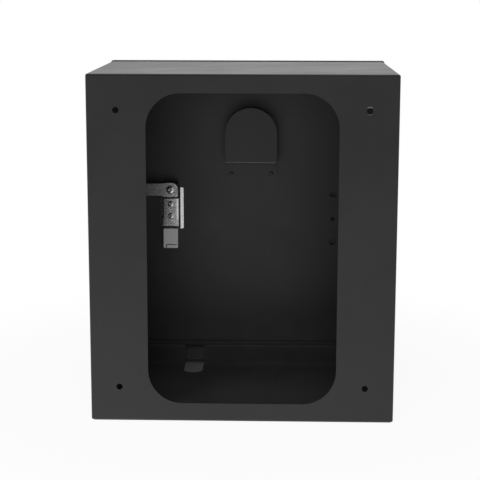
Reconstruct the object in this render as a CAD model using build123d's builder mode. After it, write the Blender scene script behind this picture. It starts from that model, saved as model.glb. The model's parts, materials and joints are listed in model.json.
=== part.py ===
from build123d import *
import os

# Wall cabinet for an electric vehicle charging point: a folded steel box with a windowed rear panel,
# a hinged front door, a pop-out lever lock and a cable hook on the inside of the door.
# Millimetres. The origin is the centre of the four wall fixings on the rear face,
# X runs to the right seen from the rear, Y runs from the rear panel to the door, Z is up.

os.makedirs("parts", exist_ok=True)

# Box
width = 400.0
height = 458.0
depth = 300.0
sheet = 1.5
bend = 2.5

# Rear panel: the window's margins and the four wall fixings
window_side = 76.2
window_end = 24.2
window_corner = 45.0
fixing_hole = 8.0
fixing_in_x = 38.0
fixing_in_z = 46.0

# Front return of the box: a lip turned inwards and a rim turned forwards along its edge
lip_width = 27.5
rim_height = 9.0
opening_corner = 8.0

# Cable slot in the floor, open towards the door
slot_from_left = 121.0
slot_width = 28.5
slot_length = 59.0

# Door pan
door_depth = 15.5
door_overhang = 1.0
door_gap = 1.5
gasket_width = 10.0
gasket_gap = 0.3

# Knuckle hinges on the right-hand side
hinge_length = 50.0
hinge_end_distance = 80.0
leaf_sheet = 2.0
leaf_width = 30.0
knuckle_radius = 4.5
knuckle_gap = 0.5
knuckle_share = 0.3
hinge_pin = 4.0
running = 0.05
pin_head = 6.0
pin_head_height = 1.2
axis_offset = 5.0

# Blind rivets of the hinges and of the cable hook
rivet_shank = 4.0
rivet_head = 8.0
rivet_head_height = 1.2
rivet_tail = 5.6
rivet_tail_height = 2.0
rivet_pitch = 30.0
rivet_clearance = 0.05

# Cable hook
hook_from_left = 206.0
hook_from_top = 145.5
hook_width = 76.4
hook_reach = 35.0
hook_height = 79.0
hook_flange = 27.0
hook_sheet = 2.0
hook_rivet_pitch = 58.8
hook_rivet_drop = 22.0
tongue_trim = 0.01

# Lock: its centre line, and the spindle and the key cylinder on it
lock_from_left = 86.0
spindle_from_top = 189.5
cylinder_drop = 74.3
lock_plate_width = 30.0
lock_plate_margin = 12.0
lock_plate = 5.0
lock_seal = 1.0
lock_plate_corner = 9.0
cutout_width = 24.4
cutout_above = 14.0
cutout_below = 16.5
lock_body_width = 19.8
lock_body_above = 9.5
lock_body_below = 56.0
lock_body_depth = 20.0
nose_height = 9.0
nose_width = 22.0
nose_length = 35.0

# Spindle, cam and lever
spindle_radius = 6.0
square = 8.0
disc_radius = 10.5
disc_height = 2.6
disc_clearance = 0.3
lug_width = 6.0
lug_radius = 4.4
lever_pin = 3.0
lever_width = 20.0
lever_tip_width = 16.0
lever_length = 55.0
lever_thickness = 9.2
lever_clearance = 0.4
fork_clearance = 0.2
cam_head = 22.0
cam_arm = 17.0
cam_sheet = 3.0
cam_joggle = 2.0
cam_clearance = 1.5
cam_to_lip = 3.0
washer_radius = 7.0
washer_height = 1.0
cam_screw_head = 10.6
cam_screw_head_height = 3.4
cam_screw_shank = 4.8

# Fixing frame behind the lock, its two screws and the cylinder cover
frame_sheet = 1.5
frame_fold = 2.6
body_round = 1.4
frame_width = 23.2
frame_wing = 6.4
frame_above = 7.0
web_below = 55.6
side_below = 45.0
wing_below = 62.7
clamp_screw = 4.0
clamp_screw_head = 8.4
clamp_screw_head_height = 2.6
clamp_screw_drop = 22.0
clamp_screw_pitch = 18.0
cover_width = 22.8
cover_height = 30.0
cover_depth = 25.5
cover_wall = 1.6
cover_corner = 2.0

# Push button and key plug
button_radius = 7.4
button_length = 27.0
button_proud = 3.0
plug_radius = 4.5
plug_length = 16.0
keyway_width = 1.4
keyway_height = 6.4
keyway_depth = 9.0
cylinder_radius = 9.2
cylinder_floor = 2.0

# Plugs in the door's spare holes
plug_from_right = 71.0
plug_sheet = 1.0
plug_flange = 1.6
plug_lip = 0.3
plug_cap = 4.0
slot_plug_size = (11.0, 8.0)
slot_plug_height = 29.5
small_plug = 3.2
small_plug_height = -7.8
large_plug = 5.0
large_plug_height = -43.3

# Small radii, recesses and clearances that several pieces share
small_corner = 2.0
beyond = 1.0
seal_edge = 2.0
head_round_share = 0.45
recess_length_share = 0.55
recess_width_share = 0.12
recess_depth_share = 0.6
cam_corner_share = 0.48
cam_recess = 0.2
button_edge = 0.8
plug_edge = 0.4

# Places worked out from the values above
half_w = width / 2
half_h = height / 2
door_inner = depth - sheet
door_edge = depth - door_depth
body_front = door_edge - door_gap
lip_rear = body_front - sheet
rim_front = body_front + rim_height
opening_w = width - 2 * lip_width
opening_h = height - 2 * lip_width
door_w = width + 2 * door_overhang
door_h = height + 2 * door_overhang
lock_x = lock_from_left - half_w
spindle_z = half_h - spindle_from_top
cylinder_z = spindle_z - cylinder_drop
plate_rear = depth + lock_seal
plate_face = plate_rear + lock_plate
body_rear = door_inner - lock_body_depth
nose_face = plate_face + nose_height


# A sketch plane at depth y that is seen from the rear: local x runs right and local y runs up.
def facing(y):
    return Plane.XZ.offset(-y)


# A solid box with rounded edges, from y_low to y_high; the edges at y_low stay sharp if asked.
def rounded_box(w, h, y_low, y_high, radius, round_rear=True):
    with BuildPart() as skin:
        with BuildSketch(facing(y_low)):
            Rectangle(w, h)
        extrude(amount=y_low - y_high)
        edges = skin.edges()
        if not round_rear:
            edges = edges.filter_by_position(Axis.Y, y_low + radius / 2, y_high)
        fillet(edges, radius)
    return skin.part


def finish(part, name):
    part.label = name
    export_step(part, f"parts/{name}.step")


# Hinges: the axis stands off the side wall, level with the gap between the box and the door
hinge_x = half_w + door_overhang + axis_offset
hinge_y = (body_front + door_edge) / 2
hinge_heights = {"upper": half_h - hinge_end_distance, "lower": hinge_end_distance - half_h}
door_leaf_front = depth - bend
door_leaf_rear = hinge_y + knuckle_radius + knuckle_gap
door_rivet_y = (door_leaf_rear + door_leaf_front) / 2
box_rivet_y = body_front - leaf_width / 2


# Rivet holes for both hinges, in the wall whose outer face is at wall_x
def side_holes(y, wall_x):
    with BuildPart() as holes:
        with BuildSketch(Plane.YZ.offset(wall_x - 2 * sheet)):
            for z in hinge_heights.values():
                with Locations((y, z)):
                    with GridLocations(0, rivet_pitch, 1, 2):
                        Circle(rivet_shank / 2 + rivet_clearance)
        extrude(amount=3 * sheet)
    return holes.part


# Box: rear panel with its window and fixings, four walls, the lip, the rim and the cable slot
box_outside = rounded_box(width, height, 0, body_front, bend)
box_inside = rounded_box(width - 2 * sheet, height - 2 * sheet, sheet, lip_rear, bend - sheet)
slot_x = slot_from_left - half_w
slot_end = lip_rear - slot_length

with BuildPart() as box:
    add(box_outside)
    add(box_inside, mode=Mode.SUBTRACT)
    with BuildSketch(facing(-sheet)):
        RectangleRounded(width - 2 * window_side, height - 2 * window_end, window_corner)
        with GridLocations(width - 2 * fixing_in_x, height - 2 * fixing_in_z, 2, 2):
            Circle(fixing_hole / 2)
    extrude(amount=-3 * sheet, mode=Mode.SUBTRACT)
    with BuildSketch(facing(lip_rear - sheet)):
        RectangleRounded(opening_w, opening_h, opening_corner)
    extrude(amount=-3 * sheet, mode=Mode.SUBTRACT)
    with BuildSketch(facing(lip_rear)):
        RectangleRounded(opening_w + 2 * sheet, opening_h + 2 * sheet, opening_corner + sheet)
        RectangleRounded(opening_w, opening_h, opening_corner, mode=Mode.SUBTRACT)
    extrude(amount=lip_rear - rim_front)
    with BuildSketch(Plane.XY.offset(-half_h - sheet)):
        with Locations((slot_x, slot_end + slot_width / 2)):
            Circle(slot_width / 2)
        with Locations((slot_x, (slot_end + slot_width / 2 + rim_front + sheet) / 2)):
            Rectangle(slot_width, rim_front + sheet - slot_end - slot_width / 2)
    extrude(amount=lip_width + 2 * sheet, mode=Mode.SUBTRACT)
    add(side_holes(box_rivet_y, half_w), mode=Mode.SUBTRACT)

# The box is welded up from four parts, butted where the folds end
rear_seam = facing(bend)
front_seam = facing(body_front - bend)
floor_seam = Plane.XY.offset(bend - half_h)
with BuildPart() as rear_panel:
    add(box.part)
    split(bisect_by=rear_seam, keep=Keep.TOP)
with BuildPart() as cabinet_shell:
    add(box.part)
    split(bisect_by=rear_seam, keep=Keep.BOTTOM)
    split(bisect_by=front_seam, keep=Keep.TOP)
    split(bisect_by=floor_seam, keep=Keep.TOP)
with BuildPart() as floor_panel:
    add(box.part)
    split(bisect_by=rear_seam, keep=Keep.BOTTOM)
    split(bisect_by=front_seam, keep=Keep.TOP)
    split(bisect_by=floor_seam, keep=Keep.BOTTOM)
with BuildPart() as front_frame:
    add(box.part)
    split(bisect_by=front_seam, keep=Keep.BOTTOM)

# Door: a pan with a lock cut-out, the spare holes and the rivet holes of the hook
plug_x = half_w - plug_from_right
hook_x = hook_from_left - half_w
hook_z = half_h - hook_from_top
cutout_top = spindle_z + cutout_above
cutout_bottom = cylinder_z - cutout_below
cutout_z = (cutout_top + cutout_bottom) / 2
door_outside = rounded_box(door_w, door_h, door_edge, depth, bend, round_rear=False)
door_inside = rounded_box(door_w - 2 * sheet, door_h - 2 * sheet, door_edge, door_inner, bend - sheet, False)
hook_rivets_at = [(hook_x + side * hook_rivet_pitch / 2, hook_z - hook_rivet_drop) for side in (-1, 1)]

with BuildPart() as door_panel:
    add(door_outside)
    add(door_inside, mode=Mode.SUBTRACT)
    with BuildSketch(facing(door_inner - sheet)):
        with Locations((lock_x, cutout_z)):
            RectangleRounded(cutout_width, cutout_top - cutout_bottom, small_corner)
        with Locations((plug_x, slot_plug_height)):
            RectangleRounded(*slot_plug_size, small_corner)
        with Locations((plug_x, small_plug_height)):
            Circle(small_plug)
        with Locations((plug_x, large_plug_height)):
            Circle(large_plug)
        with Locations(*hook_rivets_at):
            Circle(rivet_shank / 2 + rivet_clearance)
    extrude(amount=-3 * sheet, mode=Mode.SUBTRACT)
    add(side_holes(door_rivet_y, door_w / 2), mode=Mode.SUBTRACT)

# Foam seal on the door, against the rim
seal_w = opening_w + sheet
seal_h = opening_h + sheet
seal_corner = opening_corner + sheet / 2
with BuildPart() as door_gasket:
    with BuildSketch(facing(rim_front + gasket_gap)):
        RectangleRounded(seal_w + gasket_width, seal_h + gasket_width, seal_corner + gasket_width / 2)
        RectangleRounded(seal_w - gasket_width, seal_h - gasket_width, seal_corner - gasket_width / 2,
                         mode=Mode.SUBTRACT)
    extrude(amount=rim_front + gasket_gap - door_inner)
    fillet(door_gasket.faces().sort_by(Axis.Y)[0].edges(), seal_edge)

# Hinges: a leaf on the box, a leaf on the door and a pin at each height
middle_length = hinge_length * (1 - 2 * knuckle_share) - 2 * knuckle_gap


# A leaf lies on the wall at wall_x, from y_low to y_high, and its knuckles turn round the hinge axis.
# spans holds the low and high end of each knuckle, from the middle of the hinge.
def hinge_leaf(z, wall_x, y_low, y_high, spans, bore, rivet_y):
    towards = 1 if rivet_y > hinge_y else -1
    neck_y = hinge_y + towards * (knuckle_radius + 2 * leaf_sheet)
    with BuildPart() as leaf:
        with BuildSketch(Plane.YZ.offset(wall_x)):
            with Locations(((y_low + y_high) / 2, z)):
                RectangleRounded(y_high - y_low, hinge_length, small_corner)
        extrude(amount=leaf_sheet)
        for low, high in spans:
            with BuildSketch(Plane.XY.offset(z + low)):
                with BuildLine():
                    Polyline((wall_x, neck_y), (wall_x, hinge_y), (hinge_x, hinge_y),
                             (hinge_x, hinge_y + towards * (knuckle_radius - leaf_sheet / 4)),
                             (wall_x + leaf_sheet, neck_y), (wall_x, neck_y))
                make_face()
                with Locations((hinge_x, hinge_y)):
                    Circle(knuckle_radius)
            extrude(amount=high - low)
        with BuildSketch(Plane.XY.offset(z - hinge_length)):
            with Locations((hinge_x, hinge_y)):
                Circle(hinge_pin / 2 + bore)
        extrude(amount=2 * hinge_length, mode=Mode.SUBTRACT)
        with BuildSketch(Plane.YZ.offset(wall_x - leaf_sheet)):
            with Locations((rivet_y, z)):
                with GridLocations(0, rivet_pitch, 1, 2):
                    Circle(rivet_shank / 2 + rivet_clearance)
        extrude(amount=2 * leaf_width, mode=Mode.SUBTRACT)
    return leaf.part


end_span = hinge_length * knuckle_share
outer_spans = [(-hinge_length / 2, end_span - hinge_length / 2), (hinge_length / 2 - end_span, hinge_length / 2)]
middle_span = [(-middle_length / 2, middle_length / 2)]

hinge_leaves = {}
hinge_pins = {}
for name, z in hinge_heights.items():
    body_low = body_front - leaf_width
    hinge_leaves[f"{name}_hinge_box_leaf"] = hinge_leaf(
        z, half_w, body_low, body_front - bend, outer_spans, 0, box_rivet_y)
    hinge_leaves[f"{name}_hinge_door_leaf"] = hinge_leaf(
        z, door_w / 2, door_leaf_rear, door_leaf_front, middle_span, running, door_rivet_y)
    with BuildPart() as pin:
        with BuildSketch(Plane.XY.offset(z - hinge_length / 2)):
            with Locations((hinge_x, hinge_y)):
                Circle(hinge_pin / 2)
        extrude(amount=hinge_length)
        for end in (-1, 1):
            with BuildSketch(Plane.XY.offset(z + end * hinge_length / 2)):
                with Locations((hinge_x, hinge_y)):
                    Circle(pin_head / 2)
            extrude(amount=end * pin_head_height)
        heads = pin.edges().filter_by(GeomType.CIRCLE).group_by(Axis.Z)
        fillet(heads[0] + heads[-1], pin_head_height / 3)
    hinge_pins[f"{name}_hinge_pin"] = pin.part


# Blind rivets through walls from x_low to x_high, with the head on the high side
def side_rivets(y, x_low, x_high):
    with BuildPart() as rivets:
        for z in hinge_heights.values():
            for end in (-1, 1):
                with BuildSketch(Plane.YZ.offset(x_low - rivet_tail_height)):
                    with Locations((y, z + end * rivet_pitch / 2)):
                        Circle(rivet_tail / 2)
                extrude(amount=rivet_tail_height)
                with BuildSketch(Plane.YZ.offset(x_low)):
                    with Locations((y, z + end * rivet_pitch / 2)):
                        Circle(rivet_shank / 2)
                extrude(amount=x_high - x_low)
                with BuildSketch(Plane.YZ.offset(x_high)):
                    with Locations((y, z + end * rivet_pitch / 2)):
                        Circle(rivet_head / 2)
                extrude(amount=rivet_head_height)
        rims = rivets.edges().filter_by(GeomType.CIRCLE).group_by(Axis.X)[-1]
        fillet(rims, rivet_head_height / 2)
    return rivets.part


# Cable hook: a flange on the door, a shelf and a round-topped tongue that keeps the cable on it
tongue_y = door_inner - hook_reach
with BuildPart() as cable_hook:
    with BuildSketch(Plane.YZ.offset(hook_x - hook_width / 2)):
        with BuildLine():
            Polyline((door_inner, hook_z - hook_flange), (door_inner, hook_z), (tongue_y + hook_sheet, hook_z),
                     (tongue_y + hook_sheet, hook_z + hook_height), (tongue_y, hook_z + hook_height),
                     (tongue_y, hook_z - hook_sheet), (door_inner - hook_sheet, hook_z - hook_sheet),
                     (door_inner - hook_sheet, hook_z - hook_flange), (door_inner, hook_z - hook_flange))
        make_face()
    extrude(amount=hook_width)
    along = cable_hook.edges().filter_by(Axis.X)
    inner_folds = (along.filter_by_position(Axis.Y, tongue_y + hook_sheet, tongue_y + hook_sheet)
                   .filter_by_position(Axis.Z, hook_z, hook_z)
                   + along.filter_by_position(Axis.Y, door_inner - hook_sheet, door_inner - hook_sheet)
                   .filter_by_position(Axis.Z, hook_z - hook_sheet, hook_z - hook_sheet))
    outer_folds = (along.filter_by_position(Axis.Y, tongue_y, tongue_y)
                   .filter_by_position(Axis.Z, hook_z - hook_sheet, hook_z - hook_sheet)
                   + along.filter_by_position(Axis.Y, door_inner, door_inner)
                   .filter_by_position(Axis.Z, hook_z, hook_z))
    fillet(inner_folds, hook_sheet / 2)
    fillet(outer_folds, 1.5 * hook_sheet)
    # The tongue's top is half a circle
    with BuildSketch(facing(tongue_y - hook_sheet)):
        with Locations((hook_x, hook_z + hook_height)):
            Rectangle(hook_width + 2 * hook_sheet, hook_width)
        with Locations((hook_x, hook_z + hook_height - hook_width / 2)):
            Circle(hook_width / 2 - tongue_trim, mode=Mode.SUBTRACT)
    extrude(amount=-3 * hook_sheet, mode=Mode.SUBTRACT)
    with BuildSketch(facing(door_inner - 2 * hook_sheet)):
        with Locations(*hook_rivets_at):
            Circle(rivet_shank / 2 + rivet_clearance)
    extrude(amount=-3 * hook_sheet, mode=Mode.SUBTRACT)

with BuildPart() as hook_rivets:
    for x, z in hook_rivets_at:
        for radius, y_low, y_high in (
                (rivet_tail / 2, door_inner - hook_sheet - rivet_tail_height, door_inner - hook_sheet),
                (rivet_shank / 2, door_inner - hook_sheet, depth),
                (rivet_head / 2, depth, depth + rivet_head_height)):
            with BuildSketch(facing(y_low)):
                with Locations((x, z)):
                    Circle(radius)
            extrude(amount=y_low - y_high)
    fillet(hook_rivets.edges().filter_by(GeomType.CIRCLE).group_by(Axis.Y)[-1], rivet_head_height / 2)


# Snap-in plug: a thin flange and a hollow cap on the door's outside, and a shank through the hole
def blanking_plug(x, z, outline):
    plug_end = door_inner - plug_lip
    with BuildPart() as plug:
        for grow, y_low, y_high, mode in (
                (plug_flange, depth, depth + plug_sheet, Mode.ADD),
                (-rivet_clearance, plug_end, depth + plug_cap, Mode.ADD),
                (-rivet_clearance - plug_sheet, plug_end, depth + plug_cap - plug_sheet, Mode.SUBTRACT)):
            with BuildSketch(facing(y_low)):
                with Locations((x, z)):
                    outline(grow)
            extrude(amount=y_low - y_high, mode=mode)
        fillet(plug.faces().sort_by(Axis.Y)[-1].edges(), plug_sheet / 2)
    return plug.part


def slot_outline(grow):
    long_side, short_side = slot_plug_size
    return RectangleRounded(long_side + 2 * grow, short_side + 2 * grow, small_corner + grow)


blanking_plugs = {
    "slot_plug": blanking_plug(plug_x, slot_plug_height, slot_outline),
    "small_plug": blanking_plug(plug_x, small_plug_height, lambda grow: Circle(small_plug + grow)),
    "large_plug": blanking_plug(plug_x, large_plug_height, lambda grow: Circle(large_plug + grow)),
}

# Lock housing: the plate on the door, the nose round the button and the body that passes through
plate_top = cutout_top + lock_plate_margin
plate_bottom = cutout_bottom - lock_plate_margin
plate_z = (plate_top + plate_bottom) / 2
body_top = spindle_z + lock_body_above
body_bottom = spindle_z - lock_body_below
button_face = nose_face + button_proud
button_rear = button_face - button_length
button_floor = button_rear - button_proud - running
screw_heights = [spindle_z - clamp_screw_drop, spindle_z - clamp_screw_drop - clamp_screw_pitch]
pin_y = plate_face + lever_clearance + lever_thickness / 2

with BuildPart() as lock_housing:
    with BuildSketch(facing(plate_rear)):
        with Locations((lock_x, plate_z)):
            RectangleRounded(lock_plate_width, plate_top - plate_bottom, lock_plate_corner)
    extrude(amount=-lock_plate)
    fillet(lock_housing.faces().sort_by(Axis.Y)[-1].edges(), lock_plate / 3)
    with BuildSketch(facing(plate_rear)):
        with Locations((lock_x, cylinder_z)):
            RectangleRounded(nose_width, nose_length, nose_width / 3)
    extrude(amount=-lock_plate - nose_height)
    fillet(lock_housing.faces().sort_by(Axis.Y)[-1].edges(), nose_height / 5)
    with BuildSketch(facing(body_rear)):
        with Locations((lock_x, (body_top + body_bottom) / 2)):
            RectangleRounded(lock_body_width, body_top - body_bottom, small_corner)
    extrude(amount=body_rear - plate_rear)
    fillet(lock_housing.faces().sort_by(Axis.Y)[0].edges(), body_round)
    with BuildSketch(facing(button_floor - cylinder_floor)):
        with Locations((lock_x, cylinder_z)):
            Circle(cylinder_radius)
    extrude(amount=button_floor - cylinder_floor - plate_rear)
    with BuildSketch(facing(button_floor)):
        with Locations((lock_x, cylinder_z)):
            Circle(button_radius + running)
    extrude(amount=button_floor - nose_face - beyond, mode=Mode.SUBTRACT)
    with BuildSketch(facing(body_rear - beyond)):
        with Locations((lock_x, spindle_z)):
            Circle(spindle_radius + running)
    extrude(amount=body_rear - plate_face - 2 * beyond, mode=Mode.SUBTRACT)
    with BuildSketch(facing(plate_face - disc_height - disc_clearance)):
        with Locations((lock_x, spindle_z)):
            Circle(disc_radius + disc_clearance)
    extrude(amount=-2 * disc_height, mode=Mode.SUBTRACT)
    with BuildSketch(facing(body_rear - beyond)):
        for z in screw_heights:
            with Locations((lock_x, z)):
                Circle(clamp_screw / 2)
    extrude(amount=-beyond - 2.5 * clamp_screw, mode=Mode.SUBTRACT)

with BuildPart() as lock_seal_sheet:
    with BuildSketch(facing(depth)):
        with Locations((lock_x, plate_z)):
            RectangleRounded(lock_plate_width - lock_seal, plate_top - plate_bottom - lock_seal,
                             lock_plate_corner - lock_seal / 2)
        with Locations((lock_x, cutout_z)):
            RectangleRounded(cutout_width, cutout_top - cutout_bottom, small_corner, mode=Mode.SUBTRACT)
    extrude(amount=-lock_seal)

# Spindle: a square end for the cam, a round shank, a disc in the plate and the lug of the lever
cam_front = lip_rear - cam_to_lip - cam_sheet - cam_joggle
spindle_rear = cam_front + cam_recess
spindle_shoulder = cam_front + cam_sheet
with BuildPart() as lock_spindle:
    with BuildSketch(facing(spindle_rear)):
        with Locations((lock_x, spindle_z)):
            Rectangle(square, square)
    extrude(amount=spindle_rear - spindle_shoulder)
    with BuildSketch(facing(spindle_shoulder)):
        with Locations((lock_x, spindle_z)):
            Circle(spindle_radius)
    extrude(amount=spindle_shoulder - plate_face + disc_height)
    with BuildSketch(facing(plate_face - disc_height)):
        with Locations((lock_x, spindle_z)):
            Circle(disc_radius)
    extrude(amount=-disc_height)
    with BuildSketch(Plane.YZ.offset(lock_x - lug_width / 2)):
        with Locations((pin_y, spindle_z)):
            Circle(lug_radius)
        with Locations(((plate_face + pin_y) / 2, spindle_z)):
            Rectangle(pin_y - plate_face, 2 * lug_radius)
    extrude(amount=lug_width)
    with BuildSketch(Plane.YZ.offset(lock_x - lug_width)):
        with Locations((pin_y, spindle_z)):
            Circle(lever_pin / 2)
    extrude(amount=2 * lug_width, mode=Mode.SUBTRACT)
    with BuildSketch(facing(spindle_rear - beyond)):
        with Locations((lock_x, spindle_z)):
            Circle(cam_screw_shank / 2)
    extrude(amount=-beyond - 3 * cam_screw_shank, mode=Mode.SUBTRACT)

# Cam: a head on the spindle and an arm, stepped towards the door, that lies behind the lip
cam_tip = -opening_w / 2 + cam_clearance
cam_head_end = lock_x - cam_head / 2
cam_step_end = cam_head_end - cam_joggle
with BuildPart() as lock_cam:
    with BuildSketch(Plane.XY.offset(spindle_z - cam_head / 2)):
        with BuildLine():
            Polyline((lock_x + cam_head / 2, cam_front), (lock_x + cam_head / 2, cam_front + cam_sheet),
                     (cam_head_end - cam_sheet / 2, cam_front + cam_sheet),
                     (cam_step_end - cam_sheet / 2, cam_front + cam_joggle + cam_sheet),
                     (cam_tip, cam_front + cam_joggle + cam_sheet), (cam_tip, cam_front + cam_joggle),
                     (cam_step_end, cam_front + cam_joggle), (cam_head_end, cam_front),
                     (lock_x + cam_head / 2, cam_front))
        make_face()
    extrude(amount=cam_head)
    with BuildSketch(facing(cam_front - beyond)):
        with BuildLine():
            Polyline((cam_tip - beyond, spindle_z - cam_head), (cam_head_end - cam_sheet, spindle_z - cam_head),
                     (cam_head_end - cam_sheet, spindle_z - cam_arm / 2), (cam_tip - beyond, spindle_z - cam_arm / 2),
                     (cam_tip - beyond, spindle_z - cam_head))
        make_face()
        with Locations(((cam_tip + cam_head_end) / 2, spindle_z + cam_arm / 2 + cam_head / 2)):
            Rectangle(cam_head_end - cam_tip + 2 * cam_sheet, cam_head)
    extrude(amount=-2 * cam_joggle - 2 * cam_sheet, mode=Mode.SUBTRACT)
    corner = lock_cam.edges().filter_by(Axis.Y).sort_by(Axis.X)[-2:].sort_by(Axis.Z)
    fillet(corner[-1], cam_head * cam_corner_share)
    fillet(lock_cam.edges().filter_by(Axis.Y).sort_by(Axis.X)[:2], cam_sheet)
    with BuildSketch(facing(cam_front - beyond)):
        with Locations((lock_x, spindle_z)):
            Rectangle(square, square)
    extrude(amount=-2 * cam_sheet, mode=Mode.SUBTRACT)

with BuildPart() as cam_washer:
    with BuildSketch(facing(cam_front - washer_height)):
        with Locations((lock_x, spindle_z)):
            Circle(washer_radius)
            Circle(cam_screw_shank / 2, mode=Mode.SUBTRACT)
    extrude(amount=-washer_height)


# A round-headed screw whose head lies under depth y, with a cross recess, driven towards the door
def rear_screw(x, z, y, shank, length, head, head_height):
    with BuildPart() as screw:
        with BuildSketch(facing(y - head_height)):
            with Locations((x, z)):
                Circle(head / 2)
        extrude(amount=-head_height)
        fillet(screw.faces().sort_by(Axis.Y)[0].edges(), head_height * head_round_share)
        with BuildSketch(facing(y)):
            with Locations((x, z)):
                Circle(shank / 2)
        extrude(amount=-length)
        with BuildSketch(facing(y - head_height - beyond)):
            with Locations((x, z)):
                Rectangle(head * recess_length_share, head * recess_width_share)
                Rectangle(head * recess_width_share, head * recess_length_share)
        extrude(amount=-beyond - head_height * recess_depth_share, mode=Mode.SUBTRACT)
    return screw.part


cam_screw = rear_screw(lock_x, spindle_z, cam_front - washer_height, cam_screw_shank,
                       washer_height + cam_sheet + 2 * cam_screw_shank, cam_screw_head, cam_screw_head_height)

# Lever: a fork round the lug, a long hand grip, and its hinge pin
fork_slot = lug_width + 2 * fork_clearance
slot_floor_z = spindle_z - lug_radius - 2 * fork_clearance - beyond
with BuildPart() as lock_lever:
    with BuildSketch(Plane.YZ.offset(lock_x - lever_width / 2)):
        with Locations((pin_y, spindle_z)):
            Circle(lever_thickness / 2)
        with Locations((pin_y, spindle_z - lever_length / 2)):
            Rectangle(lever_thickness, lever_length)
    extrude(amount=lever_width)
    with BuildSketch(facing(plate_face)):
        with BuildLine():
            Polyline((lock_x - lever_width / 2, spindle_z + lever_thickness),
                     (lock_x + lever_width / 2, spindle_z + lever_thickness),
                     (lock_x + lever_width / 2, spindle_z - lever_width / 2),
                     (lock_x + lever_tip_width / 2, spindle_z - lever_length),
                     (lock_x - lever_tip_width / 2, spindle_z - lever_length),
                     (lock_x - lever_width / 2, spindle_z - lever_width / 2),
                     (lock_x - lever_width / 2, spindle_z + lever_thickness))
        make_face()
    extrude(amount=-2 * lever_thickness, mode=Mode.INTERSECT)
    outer = lock_lever.faces().sort_by(Axis.Y)[-1]
    fillet(outer.edges().filter_by(Axis.X, reverse=True), lever_thickness / 4)
    tip = lock_lever.faces().sort_by(Axis.Z)[0]
    fillet(tip.edges().filter_by(Axis.Y), lever_tip_width / 6)
    with BuildSketch(facing(plate_face)):
        with Locations((lock_x, (slot_floor_z + spindle_z + lever_thickness) / 2)):
            Rectangle(fork_slot, spindle_z + lever_thickness - slot_floor_z)
    extrude(amount=-2 * lever_thickness, mode=Mode.SUBTRACT)
    with BuildSketch(Plane.YZ.offset(lock_x - lever_width)):
        with Locations((pin_y, spindle_z)):
            Circle(lever_pin / 2 + running)
    extrude(amount=2 * lever_width, mode=Mode.SUBTRACT)

with BuildPart() as lever_hinge_pin:
    with BuildSketch(Plane.YZ.offset(lock_x - lever_width / 2 + sheet / 2)):
        with Locations((pin_y, spindle_z)):
            Circle(lever_pin / 2)
    extrude(amount=lever_width - sheet)

# Fixing frame: a hat-shaped strap over the lock body whose wings bear on the door
web_front = body_rear - frame_sheet
web_top = spindle_z + frame_above
web_bottom = spindle_z - web_below
side_bottom = spindle_z - side_below
wing_bottom = spindle_z - wing_below
half_frame = frame_width / 2
with BuildPart() as fixing_frame:
    with BuildSketch(facing(web_front)):
        with Locations((lock_x, (web_top + web_bottom) / 2)):
            Rectangle(frame_width, web_top - web_bottom)
    extrude(amount=-frame_sheet)
    for side in (-1, 1):
        with BuildSketch(facing(web_front)):
            with Locations((lock_x + side * (half_frame - frame_sheet / 2), (web_top + side_bottom) / 2)):
                Rectangle(frame_sheet, web_top - side_bottom)
        extrude(amount=web_front - door_inner)
        with BuildSketch(facing(door_inner - frame_sheet)):
            with Locations((lock_x + side * (half_frame + frame_wing / 2), (spindle_z + wing_bottom) / 2)):
                RectangleRounded(frame_wing, spindle_z - wing_bottom, small_corner)
        extrude(amount=-frame_sheet)
    with BuildSketch(facing(web_front - beyond)):
        with Locations((lock_x, spindle_z)):
            Circle(spindle_radius + 4 * disc_clearance)
        for z in screw_heights:
            with Locations((lock_x, z)):
                Circle(clamp_screw / 2 + rivet_clearance)
    extrude(amount=-2 * beyond - frame_sheet, mode=Mode.SUBTRACT)
    folds = fixing_frame.edges().filter_by(Axis.Z).filter_by_position(Axis.Z, side_bottom, web_top)
    fillet(folds.filter_by_position(Axis.Y, web_front, web_front), frame_fold)
    fillet(folds.filter_by_position(Axis.Y, body_rear, body_rear), frame_fold - frame_sheet)

clamp_screws = [rear_screw(lock_x, z, web_front, clamp_screw, frame_sheet + 2 * clamp_screw,
                           clamp_screw_head, clamp_screw_head_height) for z in screw_heights]
with BuildPart() as clamp_screw_set:
    for screw in clamp_screws:
        add(screw)

# Plastic cover over the rear of the key cylinder
cover_rear = plate_rear - cover_depth
with BuildPart() as cylinder_cover:
    with BuildSketch(facing(cover_rear)):
        with Locations((lock_x, cylinder_z)):
            RectangleRounded(cover_width, cover_height, cover_corner)
    extrude(amount=-cover_depth)
    fillet(cylinder_cover.faces().sort_by(Axis.Y)[0].edges(), cover_corner / 2)
    with BuildSketch(facing(cover_rear + cover_wall)):
        with Locations((lock_x, cylinder_z)):
            RectangleRounded(cover_width - 2 * cover_wall, cover_height - 2 * cover_wall, cover_corner / 2)
    extrude(amount=-cover_depth, mode=Mode.SUBTRACT)

# Push button with the key plug in it
with BuildPart() as lock_button:
    with BuildSketch(facing(button_rear)):
        with Locations((lock_x, cylinder_z)):
            Circle(button_radius)
    extrude(amount=-button_length)
    fillet(lock_button.faces().sort_by(Axis.Y)[-1].edges(), button_edge)
    with BuildSketch(facing(button_face - plug_length)):
        with Locations((lock_x, cylinder_z)):
            Circle(plug_radius + running)
    extrude(amount=-plug_length - beyond, mode=Mode.SUBTRACT)

with BuildPart() as key_plug:
    with BuildSketch(facing(button_face - plug_length)):
        with Locations((lock_x, cylinder_z)):
            Circle(plug_radius)
    extrude(amount=-plug_length)
    fillet(key_plug.faces().sort_by(Axis.Y)[-1].edges(), plug_edge)
    with BuildSketch(facing(button_face - keyway_depth)):
        with Locations((lock_x, cylinder_z)):
            Rectangle(keyway_width, keyway_height)
    extrude(amount=-keyway_depth - beyond, mode=Mode.SUBTRACT)

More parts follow.
